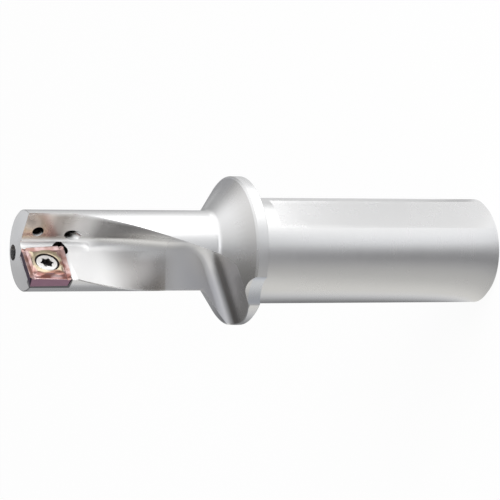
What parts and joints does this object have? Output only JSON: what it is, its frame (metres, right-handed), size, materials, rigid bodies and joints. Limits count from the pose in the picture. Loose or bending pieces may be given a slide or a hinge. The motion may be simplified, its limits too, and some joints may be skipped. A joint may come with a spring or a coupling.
{
  "type": "indexable drilling and turning tool",
  "caption": "Round-shank tool with a single clamped carbide insert, a twisted chip flute and a collar, for drilling, boring and turning on a lathe.",
  "frame": {"origin": "centre of the shank's flat end face", "axes": "+Z along the tool axis from the shank's end towards the cutting tip; -Y out of the insert's rake face and the clamping flat; -X towards the cutting corner"},
  "size_m": [0.0448, 0.0448, 0.1512],
  "materials": {
    "body_steel": "satin nickel-plated steel",
    "coated_carbide": "copper-toned coated carbide",
    "screw_steel": "bright steel"
  },
  "bodies": {
    "root": {"tool_body": "body_steel", "cutting_insert": "coated_carbide", "insert_screw": "screw_steel"}
  },
  "joints": []
}
